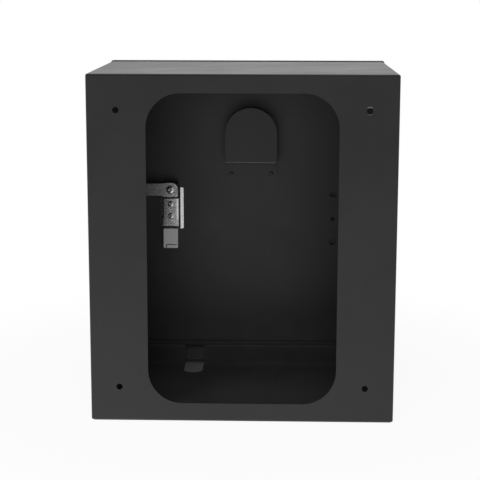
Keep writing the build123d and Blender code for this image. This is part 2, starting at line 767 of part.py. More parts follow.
pieces = {
    "rear_panel": rear_panel.part,
    "cabinet_shell": cabinet_shell.part,
    "floor_panel": floor_panel.part,
    "front_frame": front_frame.part,
    "box_leaf_rivets": side_rivets(box_rivet_y, half_w - sheet, half_w + leaf_sheet),
    "door_panel": door_panel.part,
    "door_gasket": door_gasket.part,
    "door_leaf_rivets": side_rivets(door_rivet_y, door_w / 2 - sheet, door_w / 2 + leaf_sheet),
    "cable_hook": cable_hook.part,
    "hook_rivets": hook_rivets.part,
    "lock_housing": lock_housing.part,
    "lock_seal": lock_seal_sheet.part,
    "fixing_frame": fixing_frame.part,
    "clamp_screws": clamp_screw_set.part,
    "cylinder_cover": cylinder_cover.part,
    "lock_spindle": lock_spindle.part,
    "lock_cam": lock_cam.part,
    "cam_washer": cam_washer.part,
    "cam_screw": cam_screw,
    "lock_lever": lock_lever.part,
    "lever_hinge_pin": lever_hinge_pin.part,
    "lock_button": lock_button.part,
    "key_plug": key_plug.part,
    **hinge_leaves,
    **hinge_pins,
    **blanking_plugs,
}
for name, part in pieces.items():
    finish(part, name)
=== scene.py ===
import bmesh
import bpy
import json
import math
from mathutils import Matrix, Vector


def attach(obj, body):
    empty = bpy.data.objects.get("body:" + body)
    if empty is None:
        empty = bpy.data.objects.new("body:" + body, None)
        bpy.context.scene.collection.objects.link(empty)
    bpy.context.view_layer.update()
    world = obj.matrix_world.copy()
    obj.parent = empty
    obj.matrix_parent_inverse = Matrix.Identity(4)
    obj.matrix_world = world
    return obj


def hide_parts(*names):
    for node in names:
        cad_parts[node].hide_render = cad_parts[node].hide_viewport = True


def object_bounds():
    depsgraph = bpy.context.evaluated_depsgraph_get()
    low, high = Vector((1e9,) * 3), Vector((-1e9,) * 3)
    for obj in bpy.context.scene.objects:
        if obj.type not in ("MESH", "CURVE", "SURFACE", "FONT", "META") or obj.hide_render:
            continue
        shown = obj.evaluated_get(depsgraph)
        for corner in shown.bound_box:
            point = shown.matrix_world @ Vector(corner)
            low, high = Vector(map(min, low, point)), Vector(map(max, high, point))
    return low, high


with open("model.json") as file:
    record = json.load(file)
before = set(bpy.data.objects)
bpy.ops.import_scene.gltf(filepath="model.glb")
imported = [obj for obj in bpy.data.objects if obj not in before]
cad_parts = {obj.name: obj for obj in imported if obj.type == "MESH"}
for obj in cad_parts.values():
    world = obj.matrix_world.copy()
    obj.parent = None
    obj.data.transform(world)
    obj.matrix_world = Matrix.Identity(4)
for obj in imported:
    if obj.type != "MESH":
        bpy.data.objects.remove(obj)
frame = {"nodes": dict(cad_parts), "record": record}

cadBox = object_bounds()
cadNodes = frame["nodes"]
scene = bpy.context.scene
mm = 0.001

# Camera, fitted to the cabinet's edges, the window and the four fixing holes
cameraSettings = {
    "place": (44.2 * mm, -1721.3 * mm, 341.7 * mm),
    "yaw": 1.563,       # degrees, to the left
    "pitch": -10.722,   # degrees, downwards
    "roll": -0.093,
    "lens": 101.6,
    "sensor": 36.0,
}


def addObject(name, data):
    made = bpy.data.objects.new(name, data)
    scene.collection.objects.link(made)
    return made


def makeCamera(settings):
    data = bpy.data.cameras.new("viewCamera")
    data.lens = settings["lens"]
    data.sensor_width = settings["sensor"]
    data.clip_start, data.clip_end = 0.05, 60.0
    camera = addObject("viewCamera", data)
    aim = (Matrix.Rotation(math.radians(settings["yaw"]), 4, "Z")
           @ Matrix.Rotation(math.radians(settings["pitch"]), 4, "X")
           @ Matrix.Rotation(math.radians(settings["roll"]), 4, "Y")
           @ Matrix.Rotation(math.radians(90), 4, "X"))
    camera.matrix_world = Matrix.Translation(settings["place"]) @ aim
    scene.camera = camera


makeCamera(cameraSettings)
scene.view_settings.view_transform = "Standard"
print("camera: %.1f mm lens" % cameraSettings["lens"])


# Node helpers: inputs holds sockets to link from or plain values, by the input's name or number
def addNode(tree, kind, x, y, inputs=None, **values):
    node = tree.nodes.new(kind)
    node.location = (x, y)
    for key, value in values.items():
        setattr(node, key, value)
    for key, value in (inputs or {}).items():
        if isinstance(value, bpy.types.NodeSocket):
            tree.links.new(value, node.inputs[key])
        elif value is not None:
            node.inputs[key].default_value = value
    return node


def newFinish(name, **shared):
    material = bpy.data.materials.new(name)
    material.use_nodes = True
    tree = material.node_tree
    shader = tree.nodes["Principled BSDF"]
    shader.location = (200, 0)
    for key, value in shared.items():
        shader.inputs[key].default_value = value
    tree.nodes["Material Output"].location = (500, 0)
    coordinates = addNode(tree, "ShaderNodeTexCoord", -1500, 0)
    return material, tree, shader, coordinates.outputs["Object"]


def dressShader(tree, shader, colour, rough, normal):
    for key, value in (("Base Color", colour), ("Roughness", rough), ("Normal", normal)):
        tree.links.new(value, shader.inputs[key])


def splitAxes(tree, where, x, y):
    return addNode(tree, "ShaderNodeSeparateXYZ", x, y, {0: where}).outputs


def addNoise(tree, where, x, y, scale, detail=2.0, roughness=0.5):
    inputs = {"Vector": where, "Scale": scale, "Detail": detail, "Roughness": roughness}
    return addNode(tree, "ShaderNodeTexNoise", x, y, inputs).outputs["Fac"]


def addRange(tree, value, x, y, fromLow, fromHigh, toLow, toHigh, smooth=False):
    inputs = {"Value": value, "From Min": fromLow, "From Max": fromHigh, "To Min": toLow, "To Max": toHigh}
    kind = "SMOOTHSTEP" if smooth else "LINEAR"
    return addNode(tree, "ShaderNodeMapRange", x, y, inputs, interpolation_type=kind).outputs["Result"]


def addMath(tree, operation, x, y, first, second=None):
    return addNode(tree, "ShaderNodeMath", x, y, {0: first, 1: second}, operation=operation).outputs[0]


def addMix(tree, x, y, factor, first, second):
    first, second = [(*colour, 1.0) if isinstance(colour, tuple) else colour for colour in (first, second)]
    inputs = {0: factor, 6: first, 7: second}
    return addNode(tree, "ShaderNodeMix", x, y, inputs, data_type="RGBA").outputs[2]


def addBump(tree, x, y, height, distance, strength=1.0, before=None):
    inputs = {"Height": height, "Distance": distance, "Strength": strength, "Normal": before}
    return addNode(tree, "ShaderNodeBump", x, y, inputs).outputs["Normal"]


# Powder coat on the sheet steel: near-black, fine orange peel, faint clouding and a few dust specks
coatSettings = {
    "dark": (0.0150, 0.0150, 0.0151),
    "light": (0.0215, 0.0215, 0.0216),
    "ior": 1.60,
    "rough": (0.40, 0.50),
    "cloudScale": 11.0,
    "peelScale": 620.0,
    "peelDepth": 0.035 * mm,
    "grainScale": 2300.0,
    "grainDepth": 0.008 * mm,
    "speckScale": 900.0,
    "specks": (0.70, 0.78, 0.35),   # the noise at which a speck starts and is full, and how much it covers
    "speckTone": (0.06, 0.06, 0.06),
    "patchScale": 45.0,
    "holeX": 162 * mm,
    "holeZ": 183 * mm,
    "ringOuter": 5.4 * mm,
    "ringSoft": 0.2 * mm,
    "upperWear": (3.3 * mm, 4.3 * mm, 0.30),   # heights above the hole's middle, and how bare it is there
    "lowerWear": (-4.0 * mm, -4.6 * mm, 0.12),
    "wornCorner": 0.3,   # only the hole where X plus Z is more than this
    "bareSteel": (0.62, 0.61, 0.60),
}


# A mark is a tone laid where all its ramps meet. A ramp runs from nothing at its first place to full at
# its second.
def powderCoat(name, settings, withBareRings=False, marks=()):
    material, tree, shader, where = newFinish(name, IOR=settings["ior"])
    cloud = addNoise(tree, where, -1200, 300, settings["cloudScale"], 4.0, 0.6)
    speck = addNoise(tree, where, -1200, 100, settings["speckScale"], 1.0)
    peel = addNoise(tree, where, -1200, -300, settings["peelScale"], 2.0, 0.45)
    grain = addNoise(tree, where, -1200, -500, settings["grainScale"], 1.0)
    tone = addRange(tree, cloud, -950, 300, 0.35, 0.65, 0.0, 1.0, True)
    colour = addMix(tree, -700, 300, tone, settings["dark"], settings["light"])
    start, full, cover = settings["specks"]
    dust = addRange(tree, speck, -950, 100, start, full, 0.0, cover)
    colour = addMix(tree, -450, 250, dust, colour, settings["speckTone"])
    rough = addRange(tree, cloud, -950, -100, 0.3, 0.7, *settings["rough"])
    if withBareRings:
        bare = bareRings(tree, splitAxes(tree, where, -1200, 700), settings)
        colour = addMix(tree, -250, 250, bare, colour, settings["bareSteel"])
        tree.links.new(bare, shader.inputs["Metallic"])
    if marks:
        axes = splitAxes(tree, where, -1200, 900)
        patches = addNoise(tree, where, -800, 600, settings["patchScale"], 3.0)
        patchy = addRange(tree, patches, -600, 600, 0.3, 0.6, 0.5, 1.0)
    for place, (ramps, tone) in enumerate(marks):
        cover, y = patchy, 900 + 200 * place
        for axis, start, full in ramps:
            ramp = addRange(tree, axes[axis], -400, y, start * mm, full * mm, 0.0, 1.0, True)
            cover = addMath(tree, "MULTIPLY", -200, y, cover, ramp)
        colour = addMix(tree, -100 + 100 * place, 400, cover, colour, (tone, tone, tone))
    normal = addBump(tree, -700, -300, peel, settings["peelDepth"])
    normal = addBump(tree, -450, -400, grain, settings["grainDepth"], before=normal)
    dressShader(tree, shader, colour, rough, normal)
    return material


# Bare steel in crescents above and below the top right hole, where a bolt's head rubbed
def bareRings(tree, axes, settings):
    rows = {"X": 800, "Z": 600}
    away = {axis: addMath(tree, "ABSOLUTE", -1000, y, axes[axis]) for axis, y in rows.items()}
    away = {axis: addMath(tree, "SUBTRACT", -800, y, away[axis], settings["hole" + axis])
            for axis, y in rows.items()}
    squares = [addMath(tree, "MULTIPLY", -600, y, away[axis], away[axis]) for axis, y in rows.items()]
    radius = addMath(tree, "SQRT", -200, 700, addMath(tree, "ADD", -400, 700, *squares))
    outer = settings["ringOuter"]
    nearHole = addRange(tree, radius, 0, 700, outer - settings["ringSoft"], outer, 1.0, 0.0)
    crescents = []
    for y, (start, full, wear) in ((900, settings["upperWear"]), (1100, settings["lowerWear"])):
        crescents.append(addRange(tree, away["Z"], -200, y, start, full, 0.0, wear, True))
    corner = addMath(tree, "ADD", -200, 1300, axes["X"], axes["Z"])
    topRight = addMath(tree, "GREATER_THAN", 0, 1100, corner, settings["wornCorner"])
    worn = addMath(tree, "MULTIPLY", 100, 950, addMath(tree, "MAXIMUM", 0, 950, *crescents), topRight)
    return addMath(tree, "MULTIPLY", 200, 600, nearHole, worn)


# Zinc plate: bright and cloudy on the strap and the screws, dull and coarser on the cast cam
zincSettings = {
    "strap": {"dark": (0.36, 0.36, 0.36), "light": (0.80, 0.80, 0.79), "rough": (0.20, 0.32),
              "mottleScale": 380.0, "grainScale": 520.0, "grainDepth": 0.12 * mm,
              # the flank tone is painted shade, the highlight tone a painted highlight
              "flanks": (277.75 * mm, 296.42 * mm), "flankShadeTone": (0.05, 0.05, 0.05),
              "highlightFrom": (-105.8 * mm, -105.4 * mm), "highlightTone": (0.90, 0.90, 0.89)},
    "fixings": {"dark": (0.55, 0.55, 0.55), "light": (0.85, 0.85, 0.84), "rough": (0.10, 0.20),
                "mottleScale": 700.0, "grainScale": 2200.0, "grainDepth": 0.012 * mm},
    "mandrel": {"dark": (0.12, 0.12, 0.12), "light": (0.22, 0.22, 0.22), "rough": (0.40, 0.60),
                "mottleScale": 700.0, "grainScale": 1500.0, "grainDepth": 0.03 * mm},
    "cam": {"dark": (0.28, 0.28, 0.28), "light": (0.86, 0.86, 0.85), "rough": (0.28, 0.46),
            "mottleScale": 460.0, "grainScale": 430.0, "grainDepth": 0.42 * mm,
            "castFrom": (-132.0 * mm, -112.0 * mm)},
}


def zincPlate(name, settings):
    material, tree, shader, where = newFinish(name, Metallic=1.0)
    mottle = addNoise(tree, where, -1200, 300, settings["mottleScale"], 5.0, 0.65)
    grain = addNoise(tree, where, -1200, -300, settings["grainScale"], 3.0, 0.6)
    tone = addRange(tree, mottle, -950, 300, 0.32, 0.68, 0.0, 1.0)
    colour = addMix(tree, -700, 300, tone, settings["dark"], settings["light"])
    smoothest, roughest = settings["rough"]
    rough = addRange(tree, mottle, -950, 0, 0.3, 0.7, roughest, smoothest)
    if "flanks" in settings:
        # painted shade darkens the folds' flanks, and a painted highlight lightens the strap's right-hand
        # fold and wing
        axes = splitAxes(tree, where, -1200, 700)
        edge = addRange(tree, axes["X"], -950, 600, *settings["highlightFrom"], 0.0, 0.8)
        colour = addMix(tree, -500, 400, edge, colour, settings["highlightTone"])
        low, high = settings["flanks"]
        above = addMath(tree, "GREATER_THAN", -950, 900, axes["Y"], low)
        below = addMath(tree, "LESS_THAN", -950, 750, axes["Y"], high)
        inside = addMath(tree, "MULTIPLY", -700, 800, above, below)
        colour = addMix(tree, -300, 400, inside, colour, settings["flankShadeTone"])
    if "castFrom" in settings:
        axes = splitAxes(tree, where, -1200, -600)
        cast = addRange(tree, axes["X"], -950, -600, *settings["castFrom"], 0.15, 1.0, True)
        grain = addMath(tree, "MULTIPLY", -700, -400, grain, cast)
    dressShader(tree, shader, colour, rough, addBump(tree, -450, -300, grain, settings["grainDepth"]))
    return material


# Nickel on the push button and the key plug: fine turning lines round the button's axis
nickelSettings = {
    "dark": (0.48, 0.46, 0.43),
    "light": (0.68, 0.66, 0.62),
    "rough": (0.16, 0.32),
    "axis": (-114.0 * mm, 0.0, -34.8 * mm),
    "lineScale": 5200.0,
    "lineDepth": 0.004 * mm,
    "lineStrength": 0.6,
    "wearScale": 300.0,
}


def turnedNickel(name, settings):
    material, tree, shader, where = newFinish(name, Metallic=1.0)
    shift = tuple(-along for along in settings["axis"])
    move = addNode(tree, "ShaderNodeMapping", -1300, 200,
                   {"Vector": where, "Location": shift, "Scale": (1.0, 0.0, 1.0)})
    length = addNode(tree, "ShaderNodeVectorMath", -1100, 200, {0: move.outputs[0]}, operation="LENGTH")
    waves = addMath(tree, "MULTIPLY", -900, 200, length.outputs["Value"], settings["lineScale"])
    lines = addMath(tree, "SINE", -700, 200, waves)
    wear = addNoise(tree, where, -1100, -100, settings["wearScale"], 4.0)
    colour = addMix(tree, -450, 200, wear, settings["dark"], settings["light"])
    rough = addRange(tree, wear, -700, -100, 0.3, 0.7, *settings["rough"])
    normal = addBump(tree, -450, -200, lines, settings["lineDepth"], settings["lineStrength"])
    dressShader(tree, shader, colour, rough, normal)
    return material


# Plastics, castings and foam share one tree: a base tone, a clouding and one grain
plainSettings = {
    "cloudScale": 60.0,
    "greyMoulding": {"dark": (0.76, 0.76, 0.76), "light": (0.90, 0.90, 0.89), "rough": (0.36, 0.46),
                     "grainScale": 1400.0, "grainDepth": 0.02 * mm, "ior": 1.49},
    "blackMoulding": {"dark": (0.010, 0.010, 0.010), "light": (0.018, 0.018, 0.018), "rough": (0.45, 0.60),
                      "grainScale": 1100.0, "grainDepth": 0.02 * mm, "ior": 1.47},
    "plugMoulding": {"dark": (0.016, 0.016, 0.016), "light": (0.024, 0.024, 0.024), "rough": (0.32, 0.45),
                     "grainScale": 1100.0, "grainDepth": 0.02 * mm, "ior": 1.47},
    "blackCasting": {"dark": (0.014, 0.014, 0.015), "light": (0.024, 0.024, 0.025), "rough": (0.30, 0.42),
                     "grainScale": 900.0, "grainDepth": 0.035 * mm, "ior": 1.5},
    "foamSeal": {"dark": (0.018, 0.018, 0.018), "light": (0.038, 0.038, 0.038), "rough": (0.70, 0.85),
                 "grainScale": 1800.0, "grainDepth": 0.20 * mm, "ior": 1.4},
}


def plainFinish(name):
    settings = plainSettings[name]
    material, tree, shader, where = newFinish(name, IOR=settings["ior"])
    cloud = addNoise(tree, where, -1200, 300, plainSettings["cloudScale"], 4.0, 0.6)
    grain = addNoise(tree, where, -1200, -200, settings["grainScale"], 3.0, 0.6)
    clouded = addRange(tree, cloud, -1000, 300, 0.3, 0.7, 0.4, 1.0)
    grained = addRange(tree, grain, -1000, 100, 0.3, 0.7, 0.5, 1.0)
    tone = addMath(tree, "MULTIPLY", -850, 200, clouded, grained)
    colour = addMix(tree, -600, 200, tone, settings["dark"], settings["light"])
    rough = addRange(tree, cloud, -700, 0, 0.3, 0.7, *settings["rough"])
    dressShader(tree, shader, colour, rough, addBump(tree, -450, -200, grain, settings["grainDepth"]))
    return material


# Darker and lighter copies of the one coat, whose tones stand in for how light falls: painted shade on the
# rear panel, painted light on the floor, the door and the front frame. The shell's copy differs only in gloss
panelSettings = dict(coatSettings, dark=(0.0085, 0.0085, 0.0086), light=(0.0135, 0.0135, 0.0136))
floorPaintedLightSettings = dict(coatSettings, dark=(0.027, 0.027, 0.027), light=(0.036, 0.036, 0.0355))
shellSettings = dict(coatSettings, ior=1.62, rough=(0.36, 0.46))
doorSettings = dict(coatSettings, dark=(0.0165, 0.0165, 0.0166), light=(0.0240, 0.0240, 0.0241))
rimSettings = dict(coatSettings, dark=(0.021, 0.021, 0.021), light=(0.030, 0.030, 0.030))

# Ramps in millimetres along an axis, and the tone that the mark has
insideDoor = ("Y", 298.9, 298.8)
# painted light: the floor panel is lighter towards the door
floorPaintedLight = [([("Y", 245, 276)], 0.050)]
# painted highlight: a lighter line along the top of the front frame's rim
rimPaintedHighlight = [([("Z", -203.0, -202.4), ("Z", -201.0, -201.3)], 0.050)]
doorMarks = [([("Z", -150, -200), insideDoor], 0.033),   # painted light: two lighter bands low on the inside
             ([("Z", -205, -216), insideDoor], 0.046),
             # painted shade: a dark line where the hook's flange meets the door
             ([("X", 44.0, 44.4), ("X", 46.8, 45.6), ("Z", 56, 57), ("Z", 84, 83), insideDoor], 0.003)]
hookMarks = [([("Z", 80.4, 80.8), ("Z", 82.9, 82.4), ("Y", 268.1, 268.0)], 0.17),   # painted highlight: the fold is lighter where it catches the light
             # painted shade: a dark line at the left end of the hook's flange
             ([("X", -32.4, -31.4), ("X", -26.8, -28.2), ("Z", 75, 73), ("Y", 290, 291)], 0.008)]

finishes = {
    "powder_coat": powderCoat("charcoalPowderCoat", coatSettings),
    "zinc_plate": zincPlate("brightZinc", zincSettings["fixings"]),
    "nickel": turnedNickel("turnedNickel", nickelSettings),
    "grey_plastic": plainFinish("greyMoulding"),
    "black_plastic": plainFinish("blackMoulding"),
    "black_casting": plainFinish("blackCasting"),
    "foam_seal": plainFinish("foamSeal"),
}
rearPanelFinish = powderCoat("rearPanelPowderCoat", panelSettings, withBareRings=True)
plugFinish = plainFinish("plugMoulding")
ownFinish = {
    "rear_panel": rearPanelFinish,
    "cabinet_shell": powderCoat("shellPowderCoat", shellSettings),
    "floor_panel": powderCoat("floorPaintedLightCoat", floorPaintedLightSettings, marks=floorPaintedLight),
    "front_frame": powderCoat("framePowderCoat", rimSettings, marks=rimPaintedHighlight),
    "door_panel": powderCoat("doorPowderCoat", doorSettings, marks=doorMarks),
    "slot_plug": plugFinish,
    "large_plug": plugFinish,
}
hookFinish = powderCoat("hookPowderCoat", coatSettings, marks=hookMarks)
strapFinish = zincPlate("cloudyZincStrap", zincSettings["strap"])
camFinish = zincPlate("castZincCam", zincSettings["cam"])
mandrelFinish = zincPlate("dullMandrel", zincSettings["mandrel"])

slotOf = {row["node"]: row["material_slot"] for row in frame["record"]["subparts"]}
for name, node in cadNodes.items():
    node.data.materials.clear()
    node.data.materials.append(ownFinish.get(name, finishes[slotOf[name]]))
print("finishes: %d materials" % len(bpy.data.materials))


# Mesh helpers: a piece on its body, a merged copy of a CAD node, and modifiers turned into plain mesh
def addPiece(name, mesh, finish, slotName, body, *nodes):
    if finish is not None:
        mesh.materials.clear()
        mesh.materials.append(finish)
    piece = addObject(name, mesh)
    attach(piece, body)
    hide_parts(*nodes)


def mergedCopy(nodeName, near=0.002 * mm, flat=1.5):
    work = bmesh.new()
    work.from_mesh(cadNodes[nodeName].data)
    bmesh.ops.remove_doubles(work, verts=work.verts, dist=near)
    bmesh.ops.dissolve_limit(work, angle_limit=math.radians(flat), verts=work.verts, edges=work.edges)
    return work


def toMesh(work, name):
    mesh = bpy.data.meshes.new(name)
    work.to_mesh(mesh)
    work.free()
    return mesh


def resultOf(work):
    graph = bpy.context.evaluated_depsgraph_get()
    result = bpy.data.meshes.new_from_object(work.evaluated_get(graph), depsgraph=graph)
    bpy.data.objects.remove(work)
    return result


def bake(mesh, *modifiers):
    work = addObject("workPiece", mesh)
    for kind, values in modifiers:
        modifier = work.modifiers.new(kind.lower(), kind)
        for key, value in values.items():
            setattr(modifier, key, value)
    return resultOf(work)


def smoothFaces(mesh, degrees=50):
    mesh.polygons.foreach_set("use_smooth", [True] * len(mesh.polygons))
    mesh.set_sharp_from_angle(angle=math.radians(degrees))
    return bake(mesh, ("WEIGHTED_NORMAL", {"keep_sharp": True, "weight": 100}))


def softEdges(work, name, width, segments, chosen, sharp=30):
    # chosen gets the middle of each sharp edge and says whether it is rounded
    weights = work.edges.layers.float.new("bevel_weight_edge")
    for edge in work.edges:
        if len(edge.link_faces) == 2 and edge.calc_face_angle() > math.radians(sharp):
            middle = (edge.verts[0].co + edge.verts[1].co) / 2
            edge[weights] = 1.0 if chosen(middle) else 0.0
    mesh = bake(toMesh(work, name), ("BEVEL", {"width": width, "segments": segments, "limit_method": "WEIGHT",
                                               "use_clamp_overlap": True}))
    return smoothFaces(mesh)


def angleBevel(width, segments, angle):
    return ("BEVEL", {"width": width, "segments": segments, "limit_method": "ANGLE",
                      "angle_limit": math.radians(angle), "use_clamp_overlap": True})


def pick(settings, *names):
    return [settings[name] for name in names]


def quarterTurns(steps):
    return [math.radians(90 * step / steps) for step in range(steps + 1)]


# A sheet along a path: each row is (left point, right point), and the thickness goes away from the seen side
def sheetFromRows(rows, name, thickness, edge, segments=2, near=0.001 * mm):
    work = bmesh.new()
    before = None
    for left, right in rows:
        pair = [work.verts.new(left), work.verts.new(right)]
        if before is not None:
            work.faces.new((before[0], before[1], pair[1], pair[0]))
        before = pair
    bmesh.ops.remove_doubles(work, verts=work.verts, dist=near)
    return thicken(work, name, thickness, edge, segments)


def thicken(work, name, thickness, edge, segments=2, fold=40):
    mesh = bake(toMesh(work, name),
                ("SOLIDIFY", {"thickness": thickness, "offset": -1.0, "use_even_offset": True}),
                angleBevel(edge, segments, fold))
    return smoothFaces(mesh)


# Rear panel: the CAD sheet with its cut edges at the window and the holes broken
rearPanelSettings = {
    "edge": 0.25 * mm,
    "segments": 2,
    "windowHalfX": 130 * mm,
    "windowHalfZ": 209 * mm,
    "holeReach": 4.5 * mm,
    "sheet": 1.6 * mm,
}


def makeRearPanel(settings):
    def cutEdge(middle):
        inWindow = abs(middle.x) < settings["windowHalfX"] and abs(middle.z) < settings["windowHalfZ"]
        fromHole = math.hypot(abs(middle.x) - coatSettings["holeX"], abs(middle.z) - coatSettings["holeZ"])
        return middle.y < settings["sheet"] and (inWindow or fromHole < settings["holeReach"])

    mesh = softEdges(mergedCopy("rear_panel"), "rearPanel", settings["edge"], settings["segments"], cutEdge)
    addPiece("rearPanelSheet", mesh, rearPanelFinish, "powder_coat", "cabinet", "rear_panel")


makeRearPanel(rearPanelSettings)
print("rear panel")

# Cable hook: flange on the door, shelf, and a tongue with a half-round top
hookSettings = {
    "middle": 6.0 * mm,
    "halfWidth": 38.2 * mm,
    "sheet": 2.0 * mm,
    "flangeFace": 296.5 * mm,
    "flangeLow": 56.5 * mm,
    "shelfUnder": 79.8 * mm,
    "tongueFace": 263.5 * mm,
    "top": 162.48 * mm,
    "innerFold": 1.5 * mm,
    "outerFold": 3.2 * mm,
    "flangeCorner": 3.0 * mm,
    "edge": 0.3 * mm,
    "steps": 10,
}


def makeHook(settings):
    middle, half, steps, top = pick(settings, "middle", "halfWidth", "steps", "top")
    flange, low, shelf, tongue = pick(settings, "flangeFace", "flangeLow", "shelfUnder", "tongueFace")
    corner, inner, outer = pick(settings, "flangeCorner", "innerFold", "outerFold")
    turns, topTurns = quarterTurns(steps), quarterTurns(4 * steps)
    line = [(half - corner * (1 - math.sin(turn)), flange, low + corner * (1 - math.cos(turn)))
            for turn in turns]
    line += [(half, flange - inner + inner * math.cos(turn), shelf - inner + inner * math.sin(turn))
             for turn in turns]
    line += [(half, tongue + outer - outer * math.sin(turn), shelf + outer - outer * math.cos(turn))
             for turn in turns]
    line += [(half * math.cos(turn), tongue, top - half + half * math.sin(turn)) for turn in topTurns]
    rows = [((middle - wide, y, z), (middle + wide, y, z)) for wide, y, z in line]
    mesh = sheetFromRows(rows, "cableHook", settings["sheet"], settings["edge"])
    addPiece("cableHookPlate", mesh, hookFinish, "powder_coat", "door", "cable_hook")


makeHook(hookSettings)
print("cable hook")

# Cam: cast arm with a head on the spindle and a gentle step towards the door
camSettings = {
    "tip": -171.0 * mm,
    "tipCorner": 3.0 * mm,
    "armHigh": 9.0 * mm,
    "armLow": 9.3 * mm,
    "armFace": 275.5 * mm,
    "stepFrom": -168.0 * mm,
    "stepTo": -120.0 * mm,
    "stepEase": 1.5,
    "riseFrom": -131.0 * mm,
    "riseTo": -113.5 * mm,
    "headStart": -125.0 * mm,
    "headRound": 2.0 * mm,
    "headEnd": -103.0 * mm,
    "headHigh": 10.2 * mm,
    "headLow": 11.0 * mm,
    "headFace": 273.5 * mm,
    "headCorner": 10.0 * mm,
    "lowCorner": 1.5 * mm,
    "middleZ": 39.5 * mm,
    "sheet": 3.0 * mm,
    "edge": 0.8 * mm,
    "places": {"tip": 6, "step": 16, "head": 5, "corner": 12, "low": 4},
}


def shareOf(value, start, end):
    return min(1.0, max(0.0, (value - start) / (end - start)))


def arcDrop(share):
    return 1 - math.sqrt(max(0.0, 1 - share ** 2))   # how far a quarter circle of radius 1 has fallen


def arcPlaces(start, size, count):
    return [start + size * math.sin(turn) for turn in quarterTurns(count)]


def makeCam(settings):
    middle, corner, low, tipCorner = pick(settings, "middleZ", "headCorner", "lowCorner", "tipCorner")
    armHigh, armLow, headHigh, headLow = pick(settings, "armHigh", "armLow", "headHigh", "headLow")
    tip, head, end, headRound = pick(settings, "tip", "headStart", "headEnd", "headRound")
    stepFrom, stepTo, counts = pick(settings, "stepFrom", "stepTo", "places")
    places = [stepFrom + (stepTo - stepFrom) * step / counts["step"] for step in range(counts["step"] + 1)]
    for start, size, count in ((tip + tipCorner, -tipCorner, "tip"), (head - headRound, headRound, "head"),
                               (end - corner, corner, "corner"), (end - low, low, "low")):
        places += arcPlaces(start, size, counts[count])
    rows = []
    for x in sorted(set(round(place, 7) for place in places)):
        cut = tipCorner * arcDrop(1 - shareOf(x, tip, tip + tipCorner))
        rise = shareOf(x, settings["riseFrom"], settings["riseTo"])
        high = armHigh - cut + (headHigh - armHigh) * rise ** 2 * (3 - 2 * rise)
        lowest = armLow - cut + (headLow - armLow) * arcDrop(shareOf(x, head - headRound, head))
        if x > end - corner:
            high = headHigh - corner * arcDrop(shareOf(x, end - corner, end))
        if x > end - low:
            lowest = headLow - low * arcDrop(shareOf(x, end - low, end))
        share = 1 - (1 - shareOf(x, stepFrom, stepTo)) ** settings["stepEase"]
        y = settings["armFace"] + (settings["headFace"] - settings["armFace"]) * share
        rows.append(((x, y, middle + high), (x, y, middle - lowest)))
    mesh = sheetFromRows(rows, "cam", settings["sheet"], settings["edge"], 3)
    addPiece("lockCamPlate", mesh, camFinish, "zinc_plate", "spindle", "lock_cam")


makeCam(camSettings)
print("cam")

# Fixing frame: a hat-shaped strap whose web stops short of the cam, with a flat tongue below the folds
frameSettings = {
    "middle": -114.0 * mm,
    "half": 11.6 * mm,
    "wing": 6.2 * mm,
    "webFace": 277.0 * mm,
    "wingFace": 297.0 * mm,
    "flat": 8.9 * mm,
    "leftFlat": 10.4 * mm,
    "drop": 0.48 * mm,   # the web's edges fall away by this before the folds
    "fold": 0.5 * mm,
    "foot": 0.6 * mm,
    "splay": 0.7 * mm,   # the wings spring back, so their inner edges stand off the door
    "heights": [-23.2 * mm, -16.1 * mm, -5.5 * mm, 25.3 * mm, 39.5 * mm],
    "corner": 2.0 * mm,
    "foldSteps": 8,
    "sheet": 1.5 * mm,
    "edge": 0.3 * mm,
    "near": 0.001 * mm,
}


def makeFrame(settings):
    middle, half, fold, foot, drop = pick(settings, "middle", "half", "fold", "foot", "drop")
    web, wing, heights, near = pick(settings, "webFace", "wingFace", "heights", "near")
    root, turns = wing - settings["splay"], quarterTurns(settings["foldSteps"])
    right = [(settings["flat"], web, "side")]
    right += [(half - fold + fold * math.sin(turn), web + drop + fold - fold * math.cos(turn), "side")
              for turn in turns]
    right += [(half + foot - foot * math.cos(turn), root - foot + foot * math.sin(turn), "side")
              for turn in turns[::2]]
    right += [(half + settings["wing"], wing, "wing")]
    left = [(settings["leftFlat"], web, "side")] + right[1:]
    line = [(-x, y) for x, y, kind in reversed(left)] + [(x, y) for x, y, kind in right]
    kinds = [kind for x, y, kind in reversed(right)][:-1] + ["web"] + [kind for x, y, kind in right][1:]
    wingLow, webLow, sideLow, sideHigh, wingHigh = heights
    spans = {"wing": (wingLow, wingHigh), "side": (sideLow, sideHigh), "web": (webLow, sideHigh)}
    work = bmesh.new()
    grid = [[work.verts.new((middle + x, y, z)) for z in heights] for x, y in line]
    for column, kind in enumerate(kinds):
        low, high = spans[kind]
        before, after = grid[column], grid[column + 1]
        for row in range(len(heights) - 1):
            if heights[row] >= low - near and heights[row + 1] <= high + near:
                work.faces.new((before[row], after[row], after[row + 1], before[row + 1]))
    for side, column in ((-1, kinds.index("web")), (1, kinds.index("web") + 1)):
        outside = [work.verts.new((middle + side * half, web, heights[row])) for row in (1, 2)]
        loop = [grid[column][1], outside[0], outside[1], grid[column][2]]
        work.faces.new(loop if side > 0 else loop[::-1])
    bmesh.ops.delete(work, geom=[vert for vert in work.verts if not vert.link_faces], context="VERTS")
    reach = half + settings["wing"] - near
    ends = [vert for vert in work.verts if abs(vert.co.x - middle) > reach]
    bmesh.ops.bevel(work, geom=ends, offset=settings["corner"], segments=4, profile=0.5, affect="VERTICES")
    bmesh.ops.recalc_face_normals(work, faces=work.faces)
    if sum(face.normal.y * face.calc_area() for face in work.faces) > 0:
        bmesh.ops.reverse_faces(work, faces=work.faces)
    mesh = thicken(work, "fixingFrame", settings["sheet"], settings["edge"])
    addPiece("fixingFrameStrap", mesh, strapFinish, "zinc_plate", "door", "fixing_frame")


makeFrame(frameSettings)
print("fixing frame")

